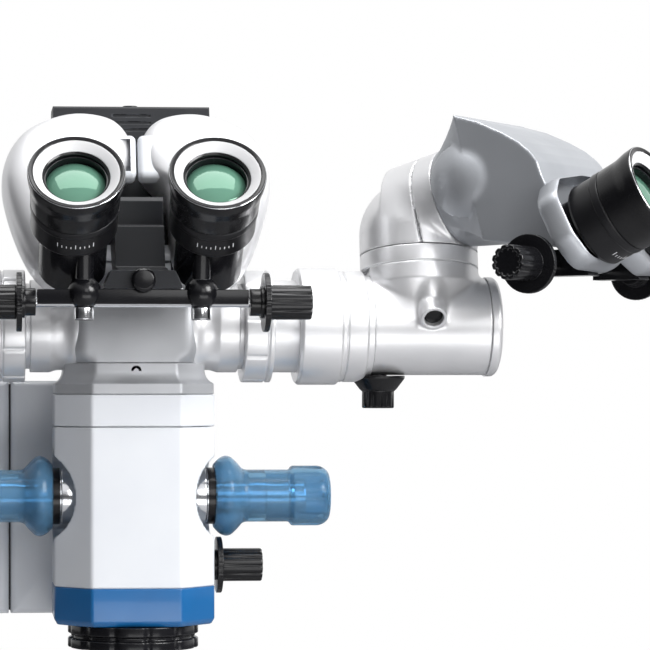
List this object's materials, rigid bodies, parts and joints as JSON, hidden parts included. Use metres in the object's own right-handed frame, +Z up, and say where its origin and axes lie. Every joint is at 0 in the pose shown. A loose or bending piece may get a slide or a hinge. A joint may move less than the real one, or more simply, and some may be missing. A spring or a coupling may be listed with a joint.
{
  "type": "surgical microscope head",
  "caption": "Ceiling or stand hung optical head with a column, objective, tilting binocular tube and a second tube on a jointed side arm.",
  "frame": {"origin": "centre of the lower rim of the objective mount, on the optical axis", "axes": "+Z up the optical axis, the surgeon looks from -Y, the assistant's arm leaves towards +X"},
  "size_m": [0.3617, 0.208, 0.2505],
  "materials": {
    "white_paint": "satin",
    "band_blue": "gloss",
    "silver_paint": "satin",
    "cast_grey": "fine grain",
    "dark_housing": "satin",
    "black_metal": "satin anodised",
    "black_plastic": "satin",
    "bright_metal": "polished",
    "steel": "turned",
    "cover_blue": "translucent",
    "coated_glass": "coated"
  },
  "bodies": {
    "head": {"column_housing": "white_paint", "base_band": "band_blue", "objective_mount": "black_metal", "column_collar": "white_paint", "coupling_ring": "cast_grey", "coupling_screws": "bright_metal", "head_block": "cast_grey", "rear_housing": "white_paint", "stand_flange": "cast_grey", "side_port_right": "silver_paint", "side_port_left": "silver_paint", "port_cap": "silver_paint", "main_base": "cast_grey"},
    "magnification_drum": {"mag_drum": "steel", "drum_lenses": "coated_glass", "hand_knobs": "bright_metal", "sterile_covers": "cover_blue"},
    "focus_drive": {"focus_knob": "black_plastic"},
    "objective": {"objective_cell": "black_metal", "objective_lens": "coated_glass"},
    "clamp_right": {"port_clamp_right": "silver_paint"},
    "clamp_left": {"port_clamp_left": "silver_paint"},
    "main_tube": {"tilt_pin": "steel", "main_housing": "dark_housing", "main_bar": "black_metal"},
    "main_drive": {"main_spindle": "black_plastic"},
    "main_lock": {"main_lock": "black_plastic"},
    "arm": {"arm_tube": "silver_paint", "elbow_body": "silver_paint", "elbow_cap": "silver_paint", "elbow_screws": "bright_metal"},
    "arm_lock": {"elbow_lock": "black_plastic"},
    "dome": {"elbow_dome": "silver_paint"},
    "assist_tube": {"assist_housing": "silver_paint", "assist_bar": "black_metal"},
    "assist_drive": {"assist_spindle": "black_plastic"},
    "main_eye_left": {"main_lobe_left": "silver_paint", "main_carrier_left": "black_metal", "main_barrel_left": "black_metal", "main_lens_left": "coated_glass"},
    "main_ring_left": {"main_dioptre_left": "black_metal"},
    "main_cup_left": {"main_eyecup_left": "black_plastic"},
    "main_eye_right": {"main_lobe_right": "silver_paint", "main_carrier_right": "black_metal", "main_barrel_right": "black_metal", "main_lens_right": "coated_glass"},
    "main_ring_right": {"main_dioptre_right": "black_metal"},
    "main_cup_right": {"main_eyecup_right": "black_plastic"},
    "assist_eye_left": {"assist_lobe_left": "silver_paint", "assist_carrier_left": "black_metal", "assist_barrel_left": "black_metal", "assist_lens_left": "coated_glass"},
    "assist_ring_left": {"assist_dioptre_left": "black_metal"},
    "assist_cup_left": {"assist_eyecup_left": "black_plastic"},
    "assist_eye_right": {"assist_lobe_right": "silver_paint", "assist_carrier_right": "black_metal", "assist_barrel_right": "black_metal", "assist_lens_right": "coated_glass"},
    "assist_ring_right": {"assist_dioptre_right": "black_metal"},
    "assist_cup_right": {"assist_eyecup_right": "black_plastic"}
  },
  "joints": [
    {"name": "drum_turn", "type": "hinge", "parent": "head", "child": "magnification_drum", "pos_m": [0, 0, 0.069], "axis": [1, 0, 0], "continuous": true},
    {"name": "focus_turn", "type": "hinge", "parent": "head", "child": "focus_drive", "pos_m": [0.0369, 0, 0.0372], "axis": [1, 0, 0], "range_deg": [-82, 82]},
    {"name": "objective_slide", "type": "slide", "parent": "head", "child": "objective", "axis": [0, 0, 1], "range_m": [-0.0041, 0.0041]},
    {"name": "clamp_right_turn", "type": "hinge", "parent": "head", "child": "clamp_right", "pos_m": [0.056, 0, 0.147], "axis": [1, 0, 0], "range_deg": [0, 60]},
    {"name": "clamp_left_turn", "type": "hinge", "parent": "head", "child": "clamp_left", "pos_m": [-0.056, 0, 0.147], "axis": [-1, 0, 0], "range_deg": [0, 60]},
    {"name": "main_tilt", "type": "hinge", "parent": "head", "child": "main_tube", "pos_m": [0, 0.008, 0.184], "axis": [-1, 0, 0], "range_deg": [0, 30]},
    {"name": "main_spindle_turn", "type": "hinge", "parent": "main_tube", "child": "main_drive", "pos_m": [0, -0.066, 0.156], "axis": [1, 0, 0], "range_deg": [0, 548]},
    {"name": "main_lock_turn", "type": "hinge", "parent": "main_tube", "child": "main_lock", "pos_m": [0, -0.0699, 0.1655], "axis": [0, -1, 0], "range_deg": [0, 90]},
    {"name": "arm_swing", "type": "hinge", "parent": "head", "child": "arm", "pos_m": [0.063, 0, 0.147], "axis": [1, 0, 0], "range_deg": [-20, 30]},
    {"name": "arm_lock_turn", "type": "hinge", "parent": "arm", "child": "arm_lock", "pos_m": [0.1136, 0, 0.1243], "axis": [0, 0, 1], "range_deg": [0, 180]},
    {"name": "dome_turn", "type": "hinge", "parent": "arm", "child": "dome", "pos_m": [0.1336, 0, 0.147], "axis": [0, 0.1736, 0.9848], "range_deg": [-10, 80]},
    {"name": "assist_roll", "type": "hinge", "parent": "dome", "child": "assist_tube", "pos_m": [0.1655, -0.0185, 0.2117], "axis": [0.7432, -0.617, 0.2588], "range_deg": [-20, 20]},
    {"name": "assist_spindle_turn", "type": "hinge", "parent": "assist_tube", "child": "assist_drive", "pos_m": [0.19935, -0.04661, 0.1722], "axis": [0.6388, 0.7694, 0], "range_deg": [0, 548]},
    {"name": "main_eye_left_slide", "type": "slide", "parent": "main_tube", "child": "main_eye_left", "axis": [-1, 0, 0], "range_m": [0, 0.0076]},
    {"name": "main_dioptre_left_turn", "type": "hinge", "parent": "main_eye_left", "child": "main_ring_left", "pos_m": [-0.03, -0.05, 0.176], "axis": [0, -0.788, 0.6157], "range_deg": [-100, 100]},
    {"name": "main_eyecup_left_slide", "type": "slide", "parent": "main_eye_left", "child": "main_cup_left", "axis": [0, -0.788, 0.6157], "range_m": [0, 0.005]},
    {"name": "main_eye_right_slide", "type": "slide", "parent": "main_tube", "child": "main_eye_right", "axis": [1, 0, 0], "range_m": [0, 0.0076]},
    {"name": "main_dioptre_right_turn", "type": "hinge", "parent": "main_eye_right", "child": "main_ring_right", "pos_m": [0.03, -0.05, 0.176], "axis": [0, -0.788, 0.6157], "range_deg": [-100, 100]},
    {"name": "main_eyecup_right_slide", "type": "slide", "parent": "main_eye_right", "child": "main_cup_right", "axis": [0, -0.788, 0.6157], "range_m": [0, 0.005]},
    {"name": "assist_eye_left_slide", "type": "slide", "parent": "assist_tube", "child": "assist_eye_left", "axis": [-0.6388, -0.7694, 0], "range_m": [0, 0.0076]},
    {"name": "assist_dioptre_left_turn", "type": "hinge", "parent": "assist_eye_left", "child": "assist_ring_left", "pos_m": [0.17961, -0.0692, 0.17916], "axis": [0.6915, -0.5741, 0.4384], "range_deg": [-100, 100]},
    {"name": "assist_eyecup_left_slide", "type": "slide", "parent": "assist_eye_left", "child": "assist_cup_left", "axis": [0.6915, -0.5741, 0.4384], "range_m": [0, 0.005]},
    {"name": "assist_eye_right_slide", "type": "slide", "parent": "assist_tube", "child": "assist_eye_right", "axis": [0.6388, 0.7694, 0], "range_m": [0, 0.0076]},
    {"name": "assist_dioptre_right_turn", "type": "hinge", "parent": "assist_eye_right", "child": "assist_ring_right", "pos_m": [0.21793, -0.02304, 0.17916], "axis": [0.6915, -0.5741, 0.4384], "range_deg": [-100, 100]},
    {"name": "assist_eyecup_right_slide", "type": "slide", "parent": "assist_eye_right", "child": "assist_cup_right", "axis": [0.6915, -0.5741, 0.4384], "range_m": [0, 0.005]}
  ],
  "couplings": [
    {"joint": "focus_turn", "follows": "objective_slide", "rad_per_m": 344.83},
    {"joint": "main_spindle_turn", "follows": "main_eye_left_slide", "rad_per_m": 1256.6},
    {"joint": "main_eye_right_slide", "follows": "main_eye_left_slide", "ratio": 1},
    {"joint": "assist_spindle_turn", "follows": "assist_eye_left_slide", "rad_per_m": 1256.6},
    {"joint": "assist_eye_right_slide", "follows": "assist_eye_left_slide", "ratio": 1}
  ]
}
